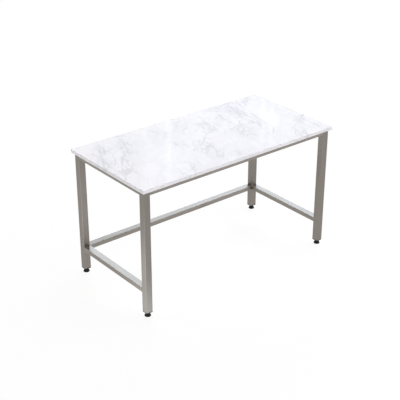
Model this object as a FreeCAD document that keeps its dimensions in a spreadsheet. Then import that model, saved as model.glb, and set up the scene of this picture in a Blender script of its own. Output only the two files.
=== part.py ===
import FreeCAD, Part
import math
import os
import Sketcher

# Work table: a stone worktop on a welded frame of square steel tube, with three lower
# stretchers and four screw-adjusted levelling feet.
# Millimetres. +Z is up and +X runs along the worktop. The origin is on the floor under the
# middle of the worktop. The open long side, where a person stands, faces -Y.

SIZES = {
    # Worktop slab: a pencil-round upper edge and a small arris below.
    "table_height": 855.0,
    "top_length": 1500.0,
    "top_depth": 750.0,
    "top_thickness": 20.0,
    "top_corner_radius": 4.0,
    "top_edge_radius": 3.0,
    "top_arris": 1.0,
    "end_overhang": 16.0,
    "side_overhang": 19.0,
    # Square tube of the legs, and the flatter tube of the rails and stretchers.
    "tube_width": 45.0,
    "rail_height": 30.0,
    "tube_wall": 1.5,
    "leg_corner_radius": 4.0,
    "rail_corner_radius": 2.0,
    "stretcher_height": 163.0,
    # Screws that hold the worktop down, from inside the top rails.
    "screw_diameter": 6.0,
    "screw_engagement": 10.0,
    "screw_head_flats": 10.0,
    "screw_head_height": 4.0,
    "screw_hole_clearance": 0.5,
    "washer_diameter": 12.0,
    "washer_thickness": 1.6,
    "access_hole_clearance": 1.0,
    "insert_diameter": 10.0,
    "insert_length": 12.0,
    "insert_hole_clearance": 1.0,
    "thread_clearance": 0.05,
    # Caps in the access holes under the rails.
    "cap_flange_lap": 2.0,
    "cap_flange_thickness": 1.5,
    "cap_depth": 5.0,
    "cap_wall": 1.5,
    "cap_clearance": 0.1,
    # End plug of a leg and the threaded bush in it.
    "plug_flange_thickness": 5.0,
    "plug_depth": 26.0,
    "plug_wall": 3.0,
    "plug_web": 3.0,
    "plug_corner_clearance": 1.0,
    "boss_wall": 4.0,
    "bush_diameter": 14.0,
    "bush_length": 22.0,
    "bush_flange_diameter": 19.0,
    "bush_flange_thickness": 4.0,
    "bush_clearance": 0.05,
    # Levelling foot: stud with a spanner collar, moulded base, rubber sole.
    "stud_diameter": 10.0,
    "stud_length": 42.0,
    "stud_chamfer": 1.0,
    "collar_flats": 17.0,
    "collar_height": 5.0,
    "foot_extension": 3.0,
    "spigot_diameter": 12.0,
    "spigot_length": 13.0,
    "spigot_end_clearance": 0.5,
    "snap_depth": 1.0,
    "snap_height": 2.0,
    "snap_clearance": 0.1,
    "base_diameter": 40.0,
    "base_height": 19.5,
    "base_rim_height": 4.5,
    "base_neck_diameter": 24.0,
    "base_edge": 0.5,
    "sole_thickness": 2.5,
    "sole_proud": 0.5,
    "sole_rim": 1.5,
}

# Where things sit along a length, as shares of that length.
LONG_RAIL_FIXING_SHARES = (-0.25, 0.25)
SHORT_RAIL_FIXING_SHARES = (0.0,)

CORNERS = {
    "front_left": (-1, -1),
    "front_right": (1, -1),
    "rear_left": (-1, 1),
    "rear_right": (1, 1),
}

doc = FreeCAD.newDocument("WorkTable")
sheet = doc.addObject("Spreadsheet::Sheet", "Sizes")
subparts = []


class Measure:
    """A length in millimetres together with the spreadsheet expression that it comes from."""

    def __init__(self, value, text):
        self.value = value
        self.text = text

    def __add__(self, other):
        return Measure(self.value + other.value, f"({self.text} + {other.text})")

    def __sub__(self, other):
        return Measure(self.value - other.value, f"({self.text} - {other.text})")

    def __mul__(self, factor):
        return Measure(self.value * factor, f"({self.text} * {factor})")

    def __truediv__(self, divisor):
        return Measure(self.value / divisor, f"({self.text} / {divisor})")


ZERO = Measure(0.0, "0")


def fill_sheet():
    """Write every driving dimension as a plain number with an alias."""
    for row, (name, value) in enumerate(SIZES.items(), start=1):
        sheet.set(f"A{row}", name)
        sheet.set(f"B{row}", str(value))
        sheet.setAlias(f"B{row}", name)
    doc.recompute()


def size(name):
    return Measure(sheet.get(name), f"Sizes.{name}")


def place(obj, x, y, z, turn=0):
    """Put an object at x, y, z, turned about +Z by so many degrees."""
    obj.Placement = FreeCAD.Placement(
        FreeCAD.Vector(x.value, y.value, z.value),
        FreeCAD.Rotation(FreeCAD.Vector(0, 0, 1), turn),
    )
    obj.setExpression("Placement.Base.x", x.text)
    obj.setExpression("Placement.Base.y", y.text)
    obj.setExpression("Placement.Base.z", z.text)


def keep(obj, label):
    """Name a finished sub-part and list it for export."""
    obj.Label = label
    subparts.append(obj)


# Sketches

def sketch_on(body, role, name):
    """Start a sketch on one of the body's own origin planes."""
    sketch = body.newObject("Sketcher::SketchObject", name)
    plane = [item for item in body.Origin.OriginFeatures if item.Role == role][0]
    sketch.AttachmentSupport = [(plane, "")]
    sketch.MapMode = "FlatFace"
    return sketch


def hold(sketch, name, measure, kind, *where):
    """Add a named dimension to a sketch and bind it to its expression."""
    index = sketch.addConstraint(Sketcher.Constraint(kind, *where, measure.value))
    sketch.renameConstraint(index, name)
    sketch.setExpression(f"Constraints.{name}", measure.text)


def draw_rectangle(sketch, name, width, height):
    """Draw a rectangle with sharp corners, centred on the sketch's origin."""
    w = width.value / 2
    h = height.value / 2
    points = [FreeCAD.Vector(x, y, 0) for x, y in ((-w, -h), (w, -h), (w, h), (-w, h))]
    first = sketch.GeometryCount
    for index, point in enumerate(points):
        sketch.addGeometry(Part.LineSegment(point, points[(index + 1) % 4]))
    for index in range(4):
        line = first + index
        sketch.addConstraint(Sketcher.Constraint("Coincident", line, 2, first + (index + 1) % 4, 1))
        sketch.addConstraint(Sketcher.Constraint("Vertical" if index % 2 else "Horizontal", line))
    sketch.addConstraint(Sketcher.Constraint("Symmetric", first, 1, first + 2, 1, -1, 1))
    hold(sketch, name + "_width", width, "DistanceX", first, 1, first, 2)
    hold(sketch, name + "_height", height, "DistanceY", first + 1, 1, first + 1, 2)


def draw_rounded_rectangle(sketch, name, width, height, radius):
    """Draw a rectangle with round corners, centred on the sketch's origin."""
    w = width.value / 2
    h = height.value / 2
    r = radius.value
    quarter = math.pi / 2
    # Each side runs counter-clockwise and ends where the next corner's arc starts.
    sides = (
        ((r - w, -h), (w - r, -h)),
        ((w, r - h), (w, h - r)),
        ((w - r, h), (r - w, h)),
        ((-w, h - r), (-w, r - h)),
    )
    centres = ((w - r, r - h), (w - r, h - r), (r - w, h - r), (r - w, r - h))
    first = sketch.GeometryCount
    for index in range(4):
        start, end = sides[index]
        sketch.addGeometry(Part.LineSegment(FreeCAD.Vector(*start, 0), FreeCAD.Vector(*end, 0)))
        circle = Part.Circle(FreeCAD.Vector(*centres[index], 0), FreeCAD.Vector(0, 0, 1), r)
        sketch.addGeometry(Part.ArcOfCircle(circle, (index - 1) * quarter, index * quarter))
    for index in range(4):
        line = first + 2 * index
        arc = line + 1
        next_line = first + 2 * ((index + 1) % 4)
        sketch.addConstraint(Sketcher.Constraint("Tangent", line, 2, arc, 1))
        sketch.addConstraint(Sketcher.Constraint("Tangent", arc, 2, next_line, 1))
        sketch.addConstraint(Sketcher.Constraint("Vertical" if index % 2 else "Horizontal", line))
        if index:
            sketch.addConstraint(Sketcher.Constraint("Equal", first + 1, arc))
    sketch.addConstraint(Sketcher.Constraint("Symmetric", first, 1, first + 4, 1, -1, 1))
    hold(sketch, name + "_radius", radius, "Radius", first + 1)
    hold(sketch, name + "_width", width, "DistanceX", first + 6, 1, first + 2, 1)
    hold(sketch, name + "_height", height, "DistanceY", first, 1, first + 4, 1)


def draw_circle(sketch, name, x, y, diameter):
    """Draw a circle at x, y; a zero coordinate is tied to the sketch's own axis."""
    circle = Part.Circle(FreeCAD.Vector(x.value, y.value, 0), FreeCAD.Vector(0, 0, 1), diameter.value / 2)
    index = sketch.addGeometry(circle)
    hold(sketch, name + "_diameter", diameter, "Diameter", index)
    pin_point(sketch, name, index, 3, x, y)


def pin_point(sketch, name, geometry, end, x, y):
    """Fix one point of a sketch at x, y from its origin."""
    if x is ZERO:
        sketch.addConstraint(Sketcher.Constraint("PointOnObject", geometry, end, -2))
    else:
        hold(sketch, name + "_x", x, "DistanceX", -1, 1, geometry, end)
    if y is ZERO:
        sketch.addConstraint(Sketcher.Constraint("PointOnObject", geometry, end, -1))
    else:
        hold(sketch, name + "_y", y, "DistanceY", -1, 1, geometry, end)


def draw_outline(sketch, points):
    """Draw a closed outline through points that are each fixed from the sketch's origin."""
    vectors = [FreeCAD.Vector(x.value, y.value, 0) for x, y in points]
    count = len(points)
    for index in range(count):
        sketch.addGeometry(Part.LineSegment(vectors[index], vectors[(index + 1) % count]))
    for index, (x, y) in enumerate(points):
        sketch.addConstraint(Sketcher.Constraint("Coincident", index, 2, (index + 1) % count, 1))
        pin_point(sketch, f"point{index}", index, 1, x, y)


# Features

def add_pad(body, sketch, length, symmetric=False, downward=False):
    pad = body.newObject("PartDesign::Pad", "Pad")
    pad.Profile = sketch
    pad.SideType = "Symmetric" if symmetric else "One side"
    pad.Reversed = downward
    pad.setExpression("Length", length.text)
    doc.recompute()
    return pad


def add_pocket(body, sketch, depth, upward=False):
    """Cut a sketch into the body and make sure that the cut took something away."""
    before = body.Shape.Volume
    pocket = body.newObject("PartDesign::Pocket", "Pocket")
    pocket.Profile = sketch
    pocket.Type = "Length"
    pocket.Reversed = upward
    pocket.setExpression("Length", depth.text)
    doc.recompute()
    if body.Shape.Volume >= before:
        raise RuntimeError(f"{body.Label}: {sketch.Label} cuts nothing")
    return pocket


def turned_body(name, outline):
    """A piece turned about +Z from an outline of (radius, height) points."""
    body = doc.addObject("PartDesign::Body", name)
    sketch = sketch_on(body, "XZ_Plane", "Profile")
    draw_outline(sketch, outline)
    revolution = body.newObject("PartDesign::Revolution", "Revolution")
    revolution.Profile = sketch
    revolution.ReferenceAxis = (sketch, ["V_Axis"])
    doc.recompute()
    return body


def hex_prism(name, flats, height):
    """A six-sided prism on +Z with the given width across its flats."""
    prism = doc.addObject("Part::Prism", name)
    prism.Polygon = 6
    prism.setExpression("Circumradius", f"{flats.text} / sqrt(3)")
    prism.setExpression("Height", height.text)
    return prism


def join(name, members):
    fusion = doc.addObject("Part::MultiFuse", name)
    fusion.Shapes = members
    return fusion


def group(label, members):
    """Keep identical pieces together as one sub-part of separate solids."""
    compound = doc.addObject("Part::Compound", label)
    compound.Links = members
    keep(compound, label)


def dress_edges(body, kind, property_name, height, amount):
    """Round or chamfer all the edges of a body's last feature that lie at one height."""
    base = body.Tip
    tolerance = 1e-6
    edges = []
    for index, edge in enumerate(base.Shape.Edges, start=1):
        box = edge.BoundBox
        if max(abs(box.ZMin - height.value), abs(box.ZMax - height.value)) < tolerance:
            edges.append(f"Edge{index}")
    dressing = body.newObject(kind, "Edges")
    dressing.Base = (base, edges)
    dressing.setExpression(property_name, amount.text)
    doc.recompute()


# Heights and centre lines that several pieces share

fill_sheet()
under_top = size("table_height") - size("top_thickness")
foot_height = size("sole_proud") + size("base_height") + size("collar_height")
plug_underside = foot_height + size("foot_extension")
leg_foot = plug_underside + size("plug_flange_thickness")
leg_x = size("top_length") / 2 - size("end_overhang") - size("tube_width") / 2
leg_y = size("top_depth") / 2 - size("side_overhang") - size("tube_width") / 2
long_span = leg_x * 2 - size("tube_width")
short_span = leg_y * 2 - size("tube_width")
rail_z = under_top - size("rail_height") / 2
stretcher_z = size("stretcher_height") + size("rail_height") / 2
screw_hole = size("screw_diameter") + size("screw_hole_clearance") * 2
access_hole = size("washer_diameter") + size("access_hole_clearance") * 2
insert_bore = size("screw_diameter") + size("thread_clearance") * 2
insert_hole = size("insert_diameter") + size("thread_clearance") * 2


def fixing_places():
    """Centres of the worktop's screws, as x, y pairs."""
    places = []
    for side in (-1, 1):
        places += [(long_span * share, leg_y * side) for share in LONG_RAIL_FIXING_SHARES]
    for side in (-1, 1):
        places += [(leg_x * side, short_span * share) for share in SHORT_RAIL_FIXING_SHARES]
    return places


# Worktop

def make_worktop():
    """Stone slab with blind holes below for its threaded inserts."""
    body = doc.addObject("PartDesign::Body", "WorktopBody")
    outline = sketch_on(body, "XY_Plane", "SlabOutline")
    draw_rounded_rectangle(
        outline, "slab", size("top_length"), size("top_depth"), size("top_corner_radius")
    )
    add_pad(body, outline, size("top_thickness"))
    dress_edges(body, "PartDesign::Fillet", "Radius", size("top_thickness"), size("top_edge_radius"))
    dress_edges(body, "PartDesign::Chamfer", "Size", ZERO, size("top_arris"))
    holes = sketch_on(body, "XY_Plane", "InsertHoles")
    for index, (x, y) in enumerate(fixing_places()):
        draw_circle(holes, f"hole{index}", x, y, insert_hole)
    add_pocket(body, holes, size("insert_length") + size("insert_hole_clearance"), upward=True)
    place(body, ZERO, ZERO, under_top)
    keep(body, "worktop")


# Welded frame

def make_tube(label, plane, depth, radius, length):
    """Welded tube: standing on its end for a leg, or lying centred on its middle for a rail."""
    body = doc.addObject("PartDesign::Body", label)
    width = size("tube_width")
    wall = size("tube_wall")
    profile = sketch_on(body, plane, "TubeProfile")
    draw_rounded_rectangle(profile, "outer", width, depth, radius)
    draw_rounded_rectangle(profile, "inner", width - wall * 2, depth - wall * 2, radius - wall)
    add_pad(body, profile, length, symmetric=plane != "XY_Plane")
    return body


def drill_rail(body, places):
    """Cut screw holes through a rail's upper wall and access holes through its lower wall."""
    upper = sketch_on(body, "XY_Plane", "ScrewHoles")
    lower = sketch_on(body, "XY_Plane", "AccessHoles")
    for index, (x, y) in enumerate(places):
        draw_circle(upper, f"screw{index}", x, y, screw_hole)
        draw_circle(lower, f"access{index}", x, y, access_hole)
    add_pocket(body, upper, size("rail_height") / 2, upward=True)
    add_pocket(body, lower, size("rail_height") / 2)


def make_rail(label, plane, length):
    return make_tube(label, plane, size("rail_height"), size("rail_corner_radius"), length)


def make_legs():
    radius = size("leg_corner_radius")
    for corner, (side_x, side_y) in CORNERS.items():
        leg = make_tube(f"leg_{corner}", "XY_Plane", size("tube_width"), radius, under_top - leg_foot)
        place(leg, leg_x * side_x, leg_y * side_y, leg_foot)
        keep(leg, f"leg_{corner}")


def make_top_rails():
    for side, name in ((-1, "front"), (1, "rear")):
        rail = make_rail(f"top_rail_{name}", "YZ_Plane", long_span)
        drill_rail(rail, [(long_span * share, ZERO) for share in LONG_RAIL_FIXING_SHARES])
        place(rail, ZERO, leg_y * side, rail_z)
        keep(rail, f"top_rail_{name}")
    for side, name in ((-1, "left"), (1, "right")):
        rail = make_rail(f"top_rail_{name}", "XZ_Plane", short_span)
        drill_rail(rail, [(ZERO, short_span * share) for share in SHORT_RAIL_FIXING_SHARES])
        place(rail, leg_x * side, ZERO, rail_z)
        keep(rail, f"top_rail_{name}")


def make_cross_rail():
    """Rail that carries the middle of the slab, between the front and rear rails."""
    rail = make_rail("worktop_cross_rail", "XZ_Plane", short_span)
    place(rail, ZERO, ZERO, rail_z)
    keep(rail, "worktop_cross_rail")


def make_stretchers():
    rear = make_rail("stretcher_rear", "YZ_Plane", long_span)
    place(rear, ZERO, leg_y, stretcher_z)
    keep(rear, "stretcher_rear")
    for side, name in ((-1, "left"), (1, "right")):
        stretcher = make_rail(f"stretcher_{name}", "XZ_Plane", short_span)
        place(stretcher, leg_x * side, ZERO, stretcher_z)
        keep(stretcher, f"stretcher_{name}")


def make_weld_fills():
    """Weld metal, dressed flush, in the grooves between leg corners and rail ends."""
    radius = size("leg_corner_radius")
    edge = size("rail_corner_radius")
    flat_height = size("rail_height") - edge * 2
    inset = size("tube_width") / 2 - radius
    block = doc.addObject("Part::Box", "WeldBlock")
    block.setExpression("Length", radius.text)
    block.setExpression("Width", radius.text)
    block.setExpression("Height", flat_height.text)
    corner = doc.addObject("Part::Cylinder", "LegCorner")
    corner.setExpression("Radius", radius.text)
    corner.setExpression("Height", flat_height.text)
    turns = {(1, 1): 0, (-1, 1): 90, (-1, -1): 180, (1, -1): 270}
    fills = []

    def add_fill(side_x, side_y, out_x, out_y, height):
        fill = doc.addObject("Part::Cut", "WeldFill")
        fill.Base = block
        fill.Tool = corner
        x = leg_x * side_x + inset * out_x
        y = leg_y * side_y + inset * out_y
        place(fill, x, y, height + edge, turns[(out_x, out_y)])
        fills.append(fill)

    for side_x, side_y in CORNERS.values():
        for across in (-1, 1):
            add_fill(side_x, side_y, across, -side_y, under_top - size("rail_height"))
            add_fill(side_x, side_y, across, -side_y, size("stretcher_height"))
            add_fill(side_x, side_y, -side_x, across, under_top - size("rail_height"))
            if side_y > 0:
                add_fill(side_x, side_y, -side_x, across, size("stretcher_height"))
    group("weld_fills", fills)


# Fixings of the worktop

def make_screws():
    """Hexagon screws that stand on their heads inside the rails."""
    shank_length = size("washer_thickness") + size("tube_wall") + size("screw_engagement")
    head = hex_prism("ScrewHead", size("screw_head_flats"), size("screw_head_height"))
    shank = doc.addObject("Part::Cylinder", "ScrewShank")
    shank.setExpression("Radius", (size("screw_diameter") / 2).text)
    shank.setExpression("Height", shank_length.text)
    shank.setExpression("Placement.Base.z", size("screw_head_height").text)
    head_foot = (
        under_top - size("tube_wall") - size("washer_thickness") - size("screw_head_height")
    )
    screws = []
    for x, y in fixing_places():
        screw = join("Screw", [head, shank])
        place(screw, x, y, head_foot)
        screws.append(screw)
    group("worktop_screws", screws)


def make_rings(label, outline, height):
    """One turned ring or cap at each fixing, all alike."""
    rings = []
    for x, y in fixing_places():
        ring = turned_body("Ring", outline)
        place(ring, x, y, height)
        rings.append(ring)
    group(label, rings)


def ring_outline(bore, outside, thickness):
    inner = bore / 2
    outer = outside / 2
    return [(inner, ZERO), (outer, ZERO), (outer, thickness), (inner, thickness)]


def make_fixing_rings():
    washer = ring_outline(screw_hole, size("washer_diameter"), size("washer_thickness"))
    make_rings("screw_washers", washer, under_top - size("tube_wall") - size("washer_thickness"))
    insert = ring_outline(insert_bore, size("insert_diameter"), size("insert_length"))
    make_rings("worktop_inserts", insert, under_top)


def make_access_caps():
    """Press-in caps that close the access holes under the rails."""
    body_radius = access_hole / 2 - size("cap_clearance")
    bore_radius = body_radius - size("cap_wall")
    flange_radius = access_hole / 2 + size("cap_flange_lap")
    flange = size("cap_flange_thickness")
    cap_top = flange + size("cap_depth")
    outline = [
        (ZERO, ZERO),
        (flange_radius, ZERO),
        (flange_radius, flange),
        (body_radius, flange),
        (body_radius, cap_top),
        (bore_radius, cap_top),
        (bore_radius, flange),
        (ZERO, flange),
    ]
    make_rings("access_hole_caps", outline, under_top - size("rail_height") - flange)


# Levelling feet

def make_leg_plug(corner, x, y):
    """Moulded end plug: flange, ribbed body inside the leg, and a seat for the bush."""
    body = doc.addObject("PartDesign::Body", "PlugBody")
    flange_outline = sketch_on(body, "XY_Plane", "FlangeOutline")
    draw_rounded_rectangle(
        flange_outline, "flange", size("tube_width"), size("tube_width"), size("leg_corner_radius")
    )
    add_pad(body, flange_outline, size("plug_flange_thickness"), downward=True)
    plug_width = size("tube_width") - size("tube_wall") * 2
    plug_radius = size("leg_corner_radius") - size("tube_wall") + size("plug_corner_clearance")
    plug_outline = sketch_on(body, "XY_Plane", "PlugOutline")
    draw_rounded_rectangle(plug_outline, "plug", plug_width, plug_width, plug_radius)
    add_pad(body, plug_outline, size("plug_depth"))
    hollow_width = plug_width - size("plug_wall") * 2
    boss_diameter = size("bush_flange_diameter") + size("boss_wall")
    hollow = sketch_on(body, "XY_Plane", "Hollow")
    draw_rectangle(hollow, "hollow", hollow_width, hollow_width)
    draw_circle(hollow, "boss", ZERO, ZERO, boss_diameter)
    add_pocket(body, hollow, size("plug_depth"), upward=True)
    for name, width, depth in (
        ("WebX", hollow_width, size("plug_web")),
        ("WebY", size("plug_web"), hollow_width),
    ):
        web = sketch_on(body, "XY_Plane", name)
        draw_rectangle(web, "web", width, depth)
        add_pad(body, web, size("plug_depth"))
    bush_room = size("bush_clearance") * 2
    flange_seat = sketch_on(body, "XY_Plane", "BushFlangeSeat")
    draw_circle(flange_seat, "seat", ZERO, ZERO, size("bush_flange_diameter") + bush_room)
    add_pocket(body, flange_seat, size("plug_flange_thickness"))
    bush_hole = sketch_on(body, "XY_Plane", "BushHole")
    draw_circle(bush_hole, "hole", ZERO, ZERO, size("bush_diameter") + bush_room)
    add_pocket(body, bush_hole, size("plug_depth"), upward=True)
    place(body, x, y, leg_foot)
    keep(body, f"leg_plug_{corner}")


def make_threaded_bush(corner, x, y):
    """Steel bush whose flange bears on the plug, so the stud's load goes into the leg."""
    bore = size("stud_diameter") / 2 + size("thread_clearance")
    flange = size("bush_flange_diameter") / 2
    outer = size("bush_diameter") / 2
    flange_top = size("bush_flange_thickness")
    bush_top = size("bush_length")
    outline = [
        (bore, ZERO),
        (flange, ZERO),
        (flange, flange_top),
        (outer, flange_top),
        (outer, bush_top),
        (bore, bush_top),
    ]
    bush = turned_body("BushBody", outline)
    place(bush, x, y, leg_foot - size("bush_flange_thickness"))
    keep(bush, f"threaded_bush_{corner}")


def make_foot_stem(corner, x, y):
    """Stud with a spanner collar and a grooved spigot that turns in the base."""
    spigot = size("spigot_diameter") / 2
    groove = spigot - size("snap_depth")
    spigot_top = size("spigot_length")
    groove_half = size("snap_height") / 2 + size("snap_clearance")
    groove_low = spigot_top / 2 - groove_half
    groove_high = spigot_top / 2 + groove_half
    stud = size("stud_diameter") / 2
    stud_top = spigot_top + size("collar_height") + size("stud_length")
    chamfer = size("stud_chamfer")
    outline = [
        (ZERO, ZERO),
        (spigot - chamfer, ZERO),
        (spigot, chamfer),
        (spigot, groove_low),
        (groove, groove_low),
        (groove, groove_high),
        (spigot, groove_high),
        (spigot, spigot_top),
        (stud, spigot_top),
        (stud, stud_top - chamfer),
        (stud - chamfer, stud_top),
        (ZERO, stud_top),
    ]
    stem_foot = size("sole_proud") + size("base_height") - size("spigot_length")
    collar = hex_prism("Collar", size("collar_flats"), size("collar_height"))
    collar.setExpression("Placement.Base.z", spigot_top.text)
    stem = join("FootStem", [turned_body("StemBody", outline), collar])
    place(stem, x, y, stem_foot)
    keep(stem, f"foot_stem_{corner}")


def make_foot_base(corner, x, y):
    """Moulded conical base with a socket above and a recess for the sole below."""
    rim = size("base_diameter") / 2
    neck = size("base_neck_diameter") / 2
    edge = size("base_edge")
    top = size("base_height")
    socket = size("spigot_diameter") / 2 + size("thread_clearance")
    lip = size("spigot_diameter") / 2 - size("snap_depth") + size("snap_clearance")
    socket_floor = top - size("spigot_length") - size("spigot_end_clearance")
    lip_centre = top - size("spigot_length") / 2
    lip_low = lip_centre - size("snap_height") / 2
    lip_high = lip_centre + size("snap_height") / 2
    recess = rim - size("sole_rim")
    recess_top = size("sole_thickness") - size("sole_proud")
    outline = [
        (ZERO, recess_top),
        (recess, recess_top),
        (recess, ZERO),
        (rim - edge, ZERO),
        (rim, edge),
        (rim, size("base_rim_height")),
        (neck, top - edge),
        (neck - edge, top),
        (socket, top),
        (socket, lip_high),
        (lip, lip_high),
        (lip, lip_low),
        (socket, lip_low),
        (socket, socket_floor),
        (ZERO, socket_floor),
    ]
    base = turned_body("BaseBody", outline)
    place(base, x, y, size("sole_proud"))
    keep(base, f"foot_base_{corner}")


def make_foot_sole(corner, x, y):
    """Rubber disc that grips the floor."""
    radius = size("base_diameter") / 2 - size("sole_rim") - size("thread_clearance")
    sole = doc.addObject("Part::Cylinder", "Sole")
    sole.setExpression("Radius", radius.text)
    sole.setExpression("Height", size("sole_thickness").text)
    place(sole, x, y, ZERO)
    keep(sole, f"foot_sole_{corner}")


def make_feet():
    for corner, (side_x, side_y) in CORNERS.items():
        x = leg_x * side_x
        y = leg_y * side_y
        make_leg_plug(corner, x, y)
        make_threaded_bush(corner, x, y)
        make_foot_stem(corner, x, y)
        make_foot_base(corner, x, y)
        make_foot_sole(corner, x, y)


def check_and_export():
    """Write one STEP file per sub-part once every object has come out sound."""
    doc.recompute()
    for obj in doc.Objects:
        if "Invalid" in obj.State or "Error" in obj.State:
            raise RuntimeError(f"{obj.Name} ({obj.Label}) failed: {obj.State}")
    os.makedirs("parts", exist_ok=True)
    for obj in subparts:
        if obj.Shape.isNull() or not obj.Shape.isValid():
            raise RuntimeError(f"{obj.Label} has no valid shape")
    for obj in subparts:
        obj.Shape.exportStep(f"parts/{obj.Label}.step")
        print(obj.Label, "solids:", len(obj.Shape.Solids), "cubic mm:", round(obj.Shape.Volume))


make_worktop()
make_legs()
make_top_rails()
make_cross_rail()
make_stretchers()
make_weld_fills()
make_screws()
make_fixing_rings()
make_access_caps()
make_feet()
check_and_export()
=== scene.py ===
"""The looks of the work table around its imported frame: materials, floor, soft studio light and camera."""
import math

import bpy
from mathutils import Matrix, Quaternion, Vector

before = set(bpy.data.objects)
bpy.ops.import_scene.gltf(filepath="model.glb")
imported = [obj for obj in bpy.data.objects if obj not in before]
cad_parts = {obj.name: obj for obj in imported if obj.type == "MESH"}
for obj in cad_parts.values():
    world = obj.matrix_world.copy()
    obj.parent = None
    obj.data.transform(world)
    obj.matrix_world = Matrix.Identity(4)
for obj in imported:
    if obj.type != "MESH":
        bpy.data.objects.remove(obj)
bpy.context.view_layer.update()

# Camera, in metres and degrees, as the photograph was taken
CAMERA_CENTRE = (-0.05514, -0.01948, 0.44387)
CAMERA_AZIMUTH = -39.04
CAMERA_ELEVATION = 26.72
CAMERA_ROLL = 0.07
CAMERA_DISTANCE = 6.29849
CAMERA_LENS = 88.75
SENSOR_WIDTH = 36.0

WHITE = (1.0, 1.0, 1.0)

# Marble: its colours, how much of the vein colour a vein shows, and the painted shade on its sides, a little
# darker and cooler than its top
MARBLE_BODY_COLOUR = (0.888, 0.871, 0.884)
MARBLE_CLOUD_COLOUR = (0.740, 0.746, 0.773)
MARBLE_VEIN_COLOUR = (0.42, 0.415, 0.415)
MARBLE_VEIN_SHARE = 0.46
MARBLE_SIDES_PAINTED_SHADE = (0.955, 0.960, 0.972)
# Marble: the grain that the fine veins follow, by its turn in degrees and its stretch along x, y and z
MARBLE_GRAIN_TURN = 60.0
MARBLE_GRAIN_STRETCH = (1.7, 0.8, 3.3)
# Marble: patches where the veins gather, as x, y, half length and half width in metres, turn in degrees,
# and strength
MARBLE_PATCHES = (
    (-0.590, 0.270, 0.110, 0.040, 78.0, 0.85),
    (-0.670, 0.150, 0.150, 0.045, 66.0, 0.85),
    (-0.530, 0.100, 0.110, 0.055, 35.0, 0.55),
    (-0.440, 0.260, 0.140, 0.050, 74.0, 0.55),
    (-0.670, -0.090, 0.150, 0.060, 62.0, 0.50),
    (-0.360, -0.305, 0.105, 0.055, 50.0, 0.60),
    (-0.190, 0.020, 0.070, 0.050, 120.0, 0.45),
    (-0.060, -0.060, 0.140, 0.050, 48.0, 0.60),
    (-0.095, -0.230, 0.090, 0.050, 70.0, 0.50),
    (0.400, 0.240, 0.100, 0.075, 100.0, 1.30),
    (0.400, 0.330, 0.110, 0.070, 20.0, 0.70),
    (0.140, 0.150, 0.150, 0.060, 74.0, 0.60),
    (0.270, 0.180, 0.090, 0.060, 60.0, 0.50),
    (-0.200, 0.230, 0.090, 0.070, 50.0, 0.35),
    (0.000, 0.220, 0.090, 0.060, 60.0, 0.40),
    (0.255, -0.060, 0.130, 0.050, 72.0, 0.55),
    (0.400, -0.050, 0.140, 0.050, 70.0, 0.60),
    (0.680, -0.150, 0.110, 0.045, 35.0, 0.55),
    (0.530, -0.310, 0.080, 0.055, 100.0, 0.60),
    (0.690, -0.270, 0.090, 0.045, 40.0, 0.50),
    (0.000, -0.330, 0.070, 0.040, 60.0, 0.35),
    (0.650, 0.310, 0.130, 0.080, 10.0, 0.50),
    (0.250, 0.060, 0.130, 0.080, 40.0, 0.30),
)
# Marble: the long veins, as points x, y in metres
MARBLE_VEINS = (
    ((0.575, 0.400), (0.530, 0.256), (0.493, 0.085), (0.475, -0.024), (0.444, -0.146), (0.385, -0.200)),
    ((0.185, 0.300), (0.160, 0.180), (0.123, 0.073), (0.000, 0.012), (-0.086, -0.085), (-0.180, -0.110)),
    ((-0.037, -0.060), (-0.050, -0.158), (-0.123, -0.268)),
    ((-0.575, 0.400), (-0.595, 0.245), (-0.625, 0.180)),
    ((-0.620, 0.270), (-0.650, 0.190), (-0.715, 0.050), (-0.760, -0.040)),
    ((-0.410, 0.400), (-0.481, 0.146), (-0.592, 0.067), (-0.666, -0.049), (-0.745, -0.200)),
    ((0.345, 0.073), (0.247, -0.036), (0.234, -0.146)),
    ((0.760, -0.080), (0.640, -0.190), (0.560, -0.290), (0.520, -0.400)),
)

# Steel, zinc, brass, plastic and rubber: colours
STEEL_COLOUR = (0.261, 0.239, 0.213)
ZINC_COLOUR = (0.62, 0.63, 0.65)
BRASS_COLOUR = (0.72, 0.53, 0.26)
PLASTIC_COLOUR = (0.010, 0.010, 0.0105)
RUBBER_COLOUR = (0.014, 0.014, 0.014)

# World: the dim base level, and the lights in it. A heading is an angle from the view, in degrees, and a fade
# is the two angles from it between which the light goes out. A height is the sine of the angle above the
# horizon, and a band is the two heights over which light fades in and the two over which it fades out.
BASE_LEVEL = 0.12
WINDOW_HEADING = 34.0
WINDOW_FADE = (28.0, 82.0)
WINDOW_BAND = (0.02, 0.48, 0.52, 0.70)
WINDOW_LEVEL = 5.3
LOW_BAND = (0.02, 0.16, 0.48, 0.66)
SIDE_LIGHTS = ((101.0, 2.9), (-80.0, 2.6), (189.0, 1.0), (-171.0, 1.0))
SIDE_FADE = (8.0, 34.0)
SIDE_LEVEL = 0.9
STRIP_LEVEL = 1.5
PANEL_HEADING = -1.97
PANEL_FADE = (1.40, 1.55)
PANEL_BAND = (0.395, 0.400, 0.47, 0.50)
PANEL_BRIGHTNESS = 0.60
LAMP_HEADING = 4.5
LAMP_HEIGHT = 0.375
LAMP_FADE = (0.12, 0.62)
LAMP_BRIGHTNESS = 1.5
DEGREES_PER_HEIGHT = 60.0
NEUTRAL_TINT = (1.0, 0.985, 0.99)
WINDOW_TINT = (0.86, 0.985, 1.155)
# World: the slim light strips, as heading and half width in degrees, and brightness
LIGHT_STRIPS = (
    (-3.48, 0.05, 0.60),
    (-1.97, 0.09, 0.90),
    (0.0, 0.07, 0.60),
    (2.15, 0.05, 0.50),
    (3.89, 0.07, 0.80),
    (4.47, 0.04, 0.80),
)

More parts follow.
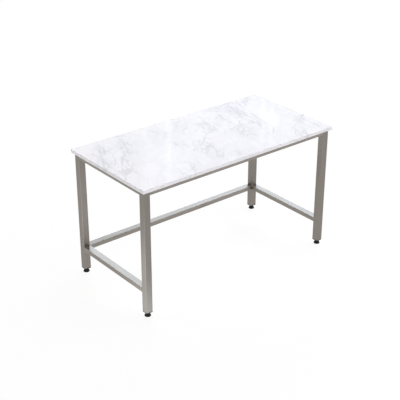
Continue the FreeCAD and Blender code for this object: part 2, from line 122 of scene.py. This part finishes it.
# Floor: how far it reaches from the middle in metres, its colour in soft light, its darker colour and its own
# glow where it is seen
FLOOR_REACH = 60.0
FLOOR_COLOUR = (0.85, 0.85, 0.85)
FLOOR_SEEN_COLOUR = (0.17, 0.17, 0.17)
FLOOR_GLOW = 0.86
# Floor: pools of light that the steel reflects, as x, y, half length and half width in metres, and brightness
FLOOR_POOLS = (
    (-1.067, -0.215, 1.10, 0.46, 0.62),
    (-0.680, -0.430, 0.55, 0.28, 0.25),
    (-1.400, -0.600, 0.75, 0.55, 0.45),
    (-1.450, -0.930, 0.42, 0.95, 1.00),
    (-1.580, -0.380, 0.38, 0.65, 0.70),
)
# Floor: the tint of the pools, and the glow at which it is full
POOL_TINT = (0.94, 1.0, 1.04)
POOL_TINT_GLOW = 1.90

# Key light: the way its light goes, its strength and colour, and its width in degrees
KEY_DIRECTION = (0.78, 0.56, -0.28)
KEY_STRENGTH = 0.70
KEY_COLOUR = (0.99, 0.98, 0.97)
KEY_WIDTH = 40.0


def put(tree, kind, inputs=(), **settings):
    """A new node with these settings, whose inputs take numbers, colours or the outputs of other nodes."""
    made = tree.nodes.new("ShaderNode" + kind)
    for name, value in settings.items():
        setattr(made, name, value)
    for key, value in dict(inputs).items():
        if isinstance(value, bpy.types.NodeSocket):
            tree.links.new(value, made.inputs[key])
        else:
            made.inputs[key].default_value = value
    return made


def calc(tree, operation, *values, clamp=False):
    """The result of one sum on numbers."""
    return put(tree, "Math", enumerate(values), operation=operation, use_clamp=clamp).outputs[0]


def vector_calc(tree, operation, *values):
    """The result of one sum on vectors: a number for a dot product or a length, and else a vector."""
    made = put(tree, "VectorMath", enumerate(values), operation=operation)
    return made.outputs["Value" if operation in ("DOT_PRODUCT", "LENGTH") else "Vector"]


def combine(tree, operation, values):
    """All the values joined by one kind of sum, from the first to the last."""
    total = values[0]
    for value in values[1:]:
        total = calc(tree, operation, total, value)
    return total


def grade(tree, value, start, end, low=0.0, high=1.0):
    """A smooth step from low at start to high at end."""
    inputs = {"Value": value, "From Min": start, "From Max": end, "To Min": low, "To Max": high}
    return put(tree, "MapRange", inputs, interpolation_type="SMOOTHSTEP").outputs["Result"]


def blend_colours(tree, share, first, second):
    """A colour from first, where share is 0, to second, where it is 1."""
    made = put(tree, "Mix", {0: share, 6: first, 7: second}, data_type="RGBA")
    return made.outputs[2]


def scaled(colour, factor=1.0):
    """A colour times a factor, with full alpha."""
    return tuple(factor * channel for channel in colour) + (1.0,)


def cloud(tree, point, scale, detail=3.0, output="Fac"):
    """Soft noise with this many periods in a metre."""
    inputs = {"Vector": point, "Scale": scale, "Detail": detail}
    return put(tree, "TexNoise", inputs).outputs[output]


def shift_by_cloud(tree, point, scale, amount, detail=3.0):
    """The point moved about by noise, by up to half of amount each way."""
    wander = vector_calc(tree, "SUBTRACT", cloud(tree, point, scale, detail, "Color"), (0.5, 0.5, 0.5))
    return vector_calc(tree, "ADD", point, vector_calc(tree, "MULTIPLY", wander, (amount,) * 3))


def drawn_out_cloud(tree, point, along, scale_across, scale_along, detail):
    """Noise drawn out along one axis, with its periods in a metre across that axis and along it."""
    scales = [scale_across] * 3
    scales["XYZ".index(along)] = scale_along
    return cloud(tree, vector_calc(tree, "MULTIPLY", point, tuple(scales)), 1.0, detail)


def soft_spot(tree, point, x, y, half_length, half_width, turn):
    """A long spot in plan that falls from 1 in its middle to 0 at its rim, turned by so many degrees."""
    place = {
        "Vector": point,
        "Location": (x, y, 0.0),
        "Rotation": (0.0, 0.0, math.radians(turn)),
        "Scale": (half_length, half_width, 1.0),
    }
    local = put(tree, "Mapping", place, vector_type="TEXTURE").outputs["Vector"]
    return put(tree, "TexGradient", {"Vector": local}, gradient_type="SPHERICAL").outputs["Fac"]


def in_plan(tree, point):
    """The point without its height."""
    return vector_calc(tree, "MULTIPLY", point, (1.0, 1.0, 0.0))


def upward(tree):
    """How far the surface faces up, from -1 to 1."""
    return put(tree, "SeparateXYZ", {0: put(tree, "NewGeometry").outputs["Normal"]}).outputs["Z"]


def new_material(name, **shader_values):
    """A material, its tree, its shader and the point on the surface, in metres."""
    material = bpy.data.materials.new(name)
    material.use_nodes = True
    tree = material.node_tree
    shader = tree.nodes["Principled BSDF"]
    for key, value in shader_values.items():
        shader.inputs[key.replace("_", " ")].default_value = value
    point = put(tree, "TexCoord").outputs["Object"]
    return material, tree, shader, point


def feed(tree, shader, **outputs):
    """Links outputs to the shader's inputs."""
    for key, output in outputs.items():
        tree.links.new(output, shader.inputs[key.replace("_", " ")])


def bump(tree, height, depth):
    """A normal from a height that runs from 0 to 1 over this depth in metres."""
    return put(tree, "Bump", {"Height": height, "Distance": depth, "Strength": 1.0}).outputs["Normal"]


def distance_to_vein(tree, point, points):
    """How far a point in plan lies from a line through these points."""
    distances = []
    for (ax, ay), (bx, by) in zip(points, points[1:]):
        along = (bx - ax, by - ay, 0.0)
        length_squared = along[0] ** 2 + along[1] ** 2
        offset = vector_calc(tree, "SUBTRACT", point, (ax, ay, 0.0))
        per_length = tuple(step / length_squared for step in along)
        share = calc(tree, "ADD", vector_calc(tree, "DOT_PRODUCT", offset, per_length), 0.0, clamp=True)
        foot = put(tree, "VectorMath", {0: along, "Scale": share}, operation="SCALE").outputs["Vector"]
        distances.append(vector_calc(tree, "LENGTH", vector_calc(tree, "SUBTRACT", offset, foot)))
    return combine(tree, "MINIMUM", distances)


def make_marble():
    """Polished white marble: crackled grey veins gathered in patches, a few long veins and soft clouds."""
    material, tree, shader, point = new_material("marble", IOR=1.5, Specular_IOR_Level=0.06)
    # Heights count for less here, so that the veins run on down the slab's sides
    squeezed = put(tree, "Mapping", {"Vector": point, "Scale": (1.0, 1.0, 0.3)}).outputs["Vector"]
    turned = (0.0, 0.0, math.radians(MARBLE_GRAIN_TURN))
    along_grain = {"Vector": point, "Rotation": turned, "Scale": MARBLE_GRAIN_STRETCH}
    grain = put(tree, "Mapping", along_grain, vector_type="TEXTURE").outputs["Vector"]
    wide = shift_by_cloud(tree, grain, scale=2.4, amount=0.16, detail=2.0)
    wavy = shift_by_cloud(tree, wide, scale=12.0, amount=0.030, detail=3.0)
    rough_lines = shift_by_cloud(tree, wide, scale=13.0, amount=0.075, detail=5.0)
    near = in_plan(tree, shift_by_cloud(tree, squeezed, scale=8.0, amount=0.07, detail=4.0))

    spread = 1.6
    spots = []
    for x, y, half_length, half_width, turn, strength in MARBLE_PATCHES:
        spot = soft_spot(tree, near, x, y, spread * half_length, spread * half_width, turn)
        spots.append(calc(tree, "MULTIPLY", spot, strength))
    gathered = calc(tree, "ADD", combine(tree, "ADD", spots), 0.0, clamp=True)

    def wisps(scale, width):
        """Thin wandering lines along the middle level of soft noise."""
        level = cloud(tree, wavy, scale, 3.0)
        return grade(tree, calc(tree, "ABSOLUTE", calc(tree, "SUBTRACT", level, 0.5)), 0.0, width, 1.0, 0.0)

    def crackle(scale, width):
        """Soft thin lines between irregular cells."""
        inputs = {"Vector": rough_lines, "Scale": scale}
        edge = put(tree, "TexVoronoi", inputs, feature="DISTANCE_TO_EDGE").outputs["Distance"]
        return grade(tree, edge, 0.0, width * scale, 1.0, 0.0)

    breaks = grade(tree, cloud(tree, squeezed, scale=7.0, detail=3.0), 0.40, 0.62)
    coarse = calc(tree, "MULTIPLY", crackle(scale=8.0, width=0.0095), breaks)
    fine_breaks = grade(tree, cloud(tree, squeezed, scale=12.0, detail=3.0), 0.44, 0.62)
    fine = calc(tree, "MULTIPLY", crackle(scale=17.0, width=0.0070), fine_breaks)
    network = calc(tree, "MAXIMUM", coarse, calc(tree, "MULTIPLY", fine, 0.75))
    network = calc(tree, "MAXIMUM", network, calc(tree, "MULTIPLY", wisps(scale=6.0, width=0.030), 0.8))
    network = calc(tree, "MULTIPLY", network, grade(tree, gathered, 0.0, 0.45, 0.24, 1.0))

    plan = in_plan(tree, shift_by_cloud(tree, squeezed, scale=7.0, amount=0.06, detail=5.0))
    half_width = grade(tree, cloud(tree, squeezed, scale=9.0, detail=2.0), 0.35, 0.65, 0.0020, 0.0125)
    lines = []
    for points in MARBLE_VEINS:
        distance = distance_to_vein(tree, plan, points)
        lines.append(calc(tree, "SUBTRACT", 1.0, calc(tree, "DIVIDE", distance, half_width), clamp=True))
    long_veins = combine(tree, "MAXIMUM", lines)
    veins = calc(tree, "MAXIMUM", network, calc(tree, "MULTIPLY", long_veins, 0.9))

    smoke = grade(tree, cloud(tree, wavy, scale=17.0, detail=5.0), 0.42, 0.68)
    shade = calc(tree, "MULTIPLY", grade(tree, gathered, 0.05, 0.85), calc(tree, "ADD", 0.15, smoke))
    haze = grade(tree, cloud(tree, wide, scale=6.0, detail=5.0), 0.40, 0.72, 0.0, 0.38)
    shade = calc(tree, "ADD", calc(tree, "MULTIPLY", shade, 0.75), haze, clamp=True)
    crystals = grade(tree, cloud(tree, point, scale=420.0, detail=2.0), 0.30, 0.70, 0.0, 0.08)
    shade = calc(tree, "ADD", shade, crystals, clamp=True)

    body = blend_colours(tree, shade, scaled(MARBLE_BODY_COLOUR), scaled(MARBLE_CLOUD_COLOUR))
    vein_share = calc(tree, "MULTIPLY", veins, MARBLE_VEIN_SHARE)
    veined = blend_colours(tree, vein_share, body, scaled(MARBLE_VEIN_COLOUR))
    # Painted shade: the slab's sides, which face sideways, are made a little darker and cooler than its top
    on_sides = grade(tree, upward(tree), 0.2, 0.8, 1.0, 0.0)
    sides_painted_shade = blend_colours(tree, on_sides, scaled(WHITE), scaled(MARBLE_SIDES_PAINTED_SHADE))
    colour = vector_calc(tree, "MULTIPLY", veined, sides_painted_shade)
    roughness = grade(tree, cloud(tree, point, scale=60.0, detail=3.0), 0.30, 0.70, 0.014, 0.024)
    ripple = cloud(tree, point, scale=9.0, detail=1.0)
    feed(tree, shader, Base_Color=colour, Roughness=roughness, Normal=bump(tree, ripple, depth=0.00002))
    return material


def make_steel(name, along, roughness=(0.32, 0.40)):
    """Satin steel with brushed streaks along one axis, faint clouds and small scuffs."""
    brushed_metal = {"Metallic": 1.0, "Anisotropic": 0.85, "Anisotropic_Rotation": 0.25}
    material, tree, shader, point = new_material(name, **brushed_metal)
    streaks = drawn_out_cloud(tree, point, along, scale_across=650.0, scale_along=7.0, detail=3.0)
    bands = drawn_out_cloud(tree, point, along, scale_across=90.0, scale_along=2.5, detail=2.0)
    patches = cloud(tree, point, scale=6.0, detail=3.0)

    def mixture(*shares):
        """The noises added up, each with its share."""
        return combine(tree, "ADD", [calc(tree, "MULTIPLY", noise, share) for noise, share in shares])

    tone = mixture((streaks, 0.45), (bands, 0.25), (patches, 0.30))
    darker, lighter = scaled(STEEL_COLOUR, 0.90), scaled(STEEL_COLOUR, 1.10)
    brushed = blend_colours(tree, grade(tree, tone, 0.30, 0.70), darker, lighter)
    uneven = shift_by_cloud(tree, point, scale=30.0, amount=0.05)
    scuffs = grade(tree, cloud(tree, uneven, scale=55.0, detail=6.0), 0.66, 0.74)
    finished = blend_colours(tree, calc(tree, "MULTIPLY", scuffs, 0.35), brushed, scaled(STEEL_COLOUR, 1.35))
    rough = grade(tree, mixture((streaks, 0.6), (patches, 0.4)), 0.30, 0.70, *roughness)
    brushing = put(tree, "CombineXYZ", {along: 1.0}).outputs["Vector"]
    feed(tree, shader, Base_Color=finished, Roughness=rough, Tangent=brushing)
    feed(tree, shader, Normal=bump(tree, streaks, depth=0.00003))
    return material


def make_plated(name, colour, roughness):
    """Plated metal with a fine even grain and faint stains. Its roughness is given as lowest and highest."""
    material, tree, shader, point = new_material(name, Metallic=1.0)
    grain = cloud(tree, point, scale=900.0, detail=3.0)
    stains = cloud(tree, point, scale=70.0, detail=4.0)
    plated = blend_colours(tree, grade(tree, stains, 0.35, 0.65), scaled(colour, 0.80), scaled(colour, 1.10))
    rough = grade(tree, grain, 0.30, 0.70, *roughness)
    feed(tree, shader, Base_Color=plated, Roughness=rough, Normal=bump(tree, grain, depth=0.00004))
    return material


def make_moulded(name, colour, roughness, grain_scale, depth):
    """Moulded plastic or rubber with a leathery grain, paler and rougher here and there where it is dusty."""
    material, tree, shader, point = new_material(name, IOR=1.5, Specular_IOR_Level=0.15)
    uneven = shift_by_cloud(tree, point, grain_scale / 3, 0.3 / grain_scale)
    cells = {"Vector": uneven, "Scale": grain_scale}
    pebbles = put(tree, "TexVoronoi", cells, feature="SMOOTH_F1").outputs["Distance"]
    grain = calc(tree, "SUBTRACT", 1.0, pebbles, clamp=True)
    dust = grade(tree, cloud(tree, point, scale=45.0, detail=5.0), 0.40, 0.75)
    toned = blend_colours(tree, calc(tree, "MULTIPLY", dust, 0.5), scaled(colour), scaled(colour, 1.9))
    rough = grade(tree, dust, 0.0, 1.0, *roughness)
    feed(tree, shader, Base_Color=toned, Roughness=rough, Normal=bump(tree, grain, depth))
    return material


def make_floor():
    """A plain pale floor. It shows white to the camera and in reflections, and keeps a soft shadow."""
    mesh = bpy.data.meshes.new("floor")
    corners = [(x * FLOOR_REACH, y * FLOOR_REACH, 0.0) for x, y in ((-1, -1), (1, -1), (1, 1), (-1, 1))]
    mesh.from_pydata(corners, [], [(0, 1, 2, 3)])
    floor = bpy.data.objects.new("floor", mesh)
    bpy.context.scene.collection.objects.link(floor)

    material = bpy.data.materials.new("floor")
    material.use_nodes = True
    tree = material.node_tree
    tree.nodes.clear()
    path = put(tree, "LightPath").outputs
    seen = calc(tree, "MAXIMUM", path["Is Camera Ray"], path["Is Glossy Ray"])
    seen = calc(tree, "MAXIMUM", seen, path["Is Transmission Ray"])
    grey = blend_colours(tree, seen, scaled(FLOOR_COLOUR), scaled(FLOOR_SEEN_COLOUR))
    matt = put(tree, "BsdfDiffuse", {"Color": grey}).outputs[0]
    position = put(tree, "NewGeometry").outputs["Position"]
    levels = [FLOOR_GLOW]
    for x, y, half_length, half_width, brightness in FLOOR_POOLS:
        spot = soft_spot(tree, position, x, y, half_length, half_width, 90.0 - CAMERA_AZIMUTH)
        pool = grade(tree, spot, 0.0, 0.8, 0.0, brightness)
        levels.append(calc(tree, "MULTIPLY", pool, path["Is Glossy Ray"]))
    strength = calc(tree, "MULTIPLY", seen, combine(tree, "ADD", levels))
    in_pool = grade(tree, strength, FLOOR_GLOW, POOL_TINT_GLOW)
    cool = blend_colours(tree, in_pool, scaled(WHITE), scaled(POOL_TINT))
    glow = put(tree, "Emission", {"Color": cool, "Strength": strength}).outputs[0]
    surface = put(tree, "AddShader", {0: matt, 1: glow}).outputs[0]
    below = put(tree, "NewGeometry").outputs["Backfacing"]
    clear = put(tree, "BsdfTransparent").outputs[0]
    from_below = calc(tree, "MULTIPLY", below, path["Is Camera Ray"])
    shown = put(tree, "MixShader", {0: from_below, 1: surface, 2: clear})
    put(tree, "OutputMaterial", {"Surface": shown.outputs[0]})
    mesh.materials.append(material)


def make_world():
    """Even soft light, with a wide bright window side behind the table and slim light strips in it."""
    world = bpy.data.worlds.new("studio")
    bpy.context.scene.world = world
    world.use_nodes = True
    tree = world.node_tree
    tree.nodes.clear()
    direction = put(tree, "TexCoord").outputs["Generated"]
    parts = put(tree, "SeparateXYZ", {0: direction}).outputs
    turn = math.radians(-CAMERA_AZIMUTH)
    ahead = vector_calc(tree, "DOT_PRODUCT", direction, (math.sin(turn), math.cos(turn), 0.0))
    aside = vector_calc(tree, "DOT_PRODUCT", direction, (math.cos(turn), -math.sin(turn), 0.0))
    angle = calc(tree, "DEGREES", calc(tree, "ARCTAN2", aside, ahead))

    def off(centre):
        """The angle from this heading."""
        return calc(tree, "ABSOLUTE", calc(tree, "SUBTRACT", angle, centre))

    def band(bottom, bottom_end, top, top_end):
        """Light that fades in over the first two heights and out over the last two."""
        rising = grade(tree, parts["Z"], bottom, bottom_end)
        return calc(tree, "MULTIPLY", rising, grade(tree, parts["Z"], top, top_end, 1.0, 0.0))

    window = grade(tree, off(WINDOW_HEADING), *WINDOW_FADE, 1.0, 0.0)
    window = calc(tree, "MULTIPLY", window, band(*WINDOW_BAND))
    low_band = band(*LOW_BAND)
    sides = [grade(tree, off(heading), *SIDE_FADE, brightness, 0.0) for heading, brightness in SIDE_LIGHTS]
    sides = calc(tree, "MULTIPLY", combine(tree, "ADD", sides), low_band)
    strips = [
        grade(tree, off(heading), half_width, 2.2 * half_width, brightness, 0.0)
        for heading, half_width, brightness in LIGHT_STRIPS
    ]
    strips = calc(tree, "MULTIPLY", combine(tree, "ADD", strips), low_band)
    panel = grade(tree, off(PANEL_HEADING), *PANEL_FADE, PANEL_BRIGHTNESS, 0.0)
    panel = calc(tree, "MULTIPLY", panel, band(*PANEL_BAND))
    above_lamp = calc(tree, "MULTIPLY", calc(tree, "SUBTRACT", parts["Z"], LAMP_HEIGHT), DEGREES_PER_HEIGHT)
    from_lamp = put(tree, "CombineXYZ", {0: off(LAMP_HEADING), 1: above_lamp}).outputs[0]
    lamp = grade(tree, vector_calc(tree, "LENGTH", from_lamp), *LAMP_FADE, LAMP_BRIGHTNESS, 0.0)
    slim = combine(tree, "ADD", [strips, panel, lamp])
    levels = [BASE_LEVEL]
    for light, share in ((window, WINDOW_LEVEL), (sides, SIDE_LEVEL), (slim, STRIP_LEVEL)):
        levels.append(calc(tree, "MULTIPLY", light, share))
    level = combine(tree, "ADD", levels)
    path = put(tree, "LightPath").outputs
    cool = calc(tree, "MULTIPLY", window, path["Is Glossy Ray"])
    tint = blend_colours(tree, cool, scaled(NEUTRAL_TINT), scaled(WINDOW_TINT))
    studio = put(tree, "Background", {"Color": tint, "Strength": level}).outputs[0]
    white = put(tree, "Background", {"Color": scaled(WHITE), "Strength": 1.0}).outputs[0]
    shown = put(tree, "MixShader", {0: path["Is Camera Ray"], 1: studio, 2: white})
    put(tree, "OutputWorld", {"Surface": shown.outputs[0]})


def make_key_light():
    """A broad soft light from the front left."""
    light = bpy.data.lights.new("key", "SUN")
    light.energy = KEY_STRENGTH
    light.color = KEY_COLOUR
    light.angle = math.radians(KEY_WIDTH)
    lamp = bpy.data.objects.new("key", light)
    bpy.context.scene.collection.objects.link(lamp)
    lamp.rotation_mode = "QUATERNION"
    lamp.rotation_quaternion = Vector(KEY_DIRECTION).to_track_quat("-Z", "Y")


def make_camera():
    """The camera at the photograph's place and framing."""
    azimuth = math.radians(CAMERA_AZIMUTH)
    elevation = math.radians(CAMERA_ELEVATION)
    level = math.cos(elevation)
    back = Vector((math.sin(azimuth) * level, -math.cos(azimuth) * level, math.sin(elevation)))
    data = bpy.data.cameras.new("camera")
    data.sensor_width = SENSOR_WIDTH
    data.lens = CAMERA_LENS
    camera = bpy.data.objects.new("camera", data)
    bpy.context.scene.collection.objects.link(camera)
    camera.location = Vector(CAMERA_CENTRE) + CAMERA_DISTANCE * back
    camera.rotation_mode = "QUATERNION"
    roll = Quaternion((0.0, 0.0, 1.0), math.radians(CAMERA_ROLL))
    camera.rotation_quaternion = (-back).to_track_quat("-Z", "Y") @ roll
    bpy.context.scene.camera = camera


def dress(material, *names):
    """Gives the CAD nodes of these names this material."""
    for name in names:
        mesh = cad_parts[name].data
        mesh.materials.clear()
        mesh.materials.append(material)


def at_corners(name):
    """The four nodes of this name, one for each corner of the table."""
    return [f"{name}_{corner}" for corner in ("front_left", "front_right", "rear_left", "rear_right")]


cross_tubes = ("top_rail_left", "top_rail_right", "stretcher_left", "stretcher_right", "worktop_cross_rail")
zinc = make_plated("zinc_plate", ZINC_COLOUR, (0.25, 0.40))
brass = make_plated("brass", BRASS_COLOUR, (0.22, 0.38))
plastic = make_moulded("black_plastic", PLASTIC_COLOUR, (0.38, 0.55), grain_scale=1400.0, depth=0.00004)
rubber = make_moulded("rubber", RUBBER_COLOUR, (0.65, 0.85), grain_scale=900.0, depth=0.00005)
dress(make_marble(), "worktop")
dress(make_steel("steel_upright", "Z"), *at_corners("leg"))
dress(make_steel("steel_long", "X"), "top_rail_front", "top_rail_rear", "stretcher_rear")
dress(make_steel("steel_cross", "Y"), *cross_tubes)
dress(make_steel("steel_welds", "Z", roughness=(0.38, 0.46)), "weld_fills")
dress(zinc, "worktop_screws", "screw_washers", *at_corners("threaded_bush"), *at_corners("foot_stem"))
dress(brass, "worktop_inserts")
dress(plastic, "access_hole_caps", *at_corners("leg_plug"), *at_corners("foot_base"))
dress(rubber, *at_corners("foot_sole"))

make_floor()
make_world()
make_key_light()
make_camera()
bpy.context.scene.view_settings.view_transform = "Standard"
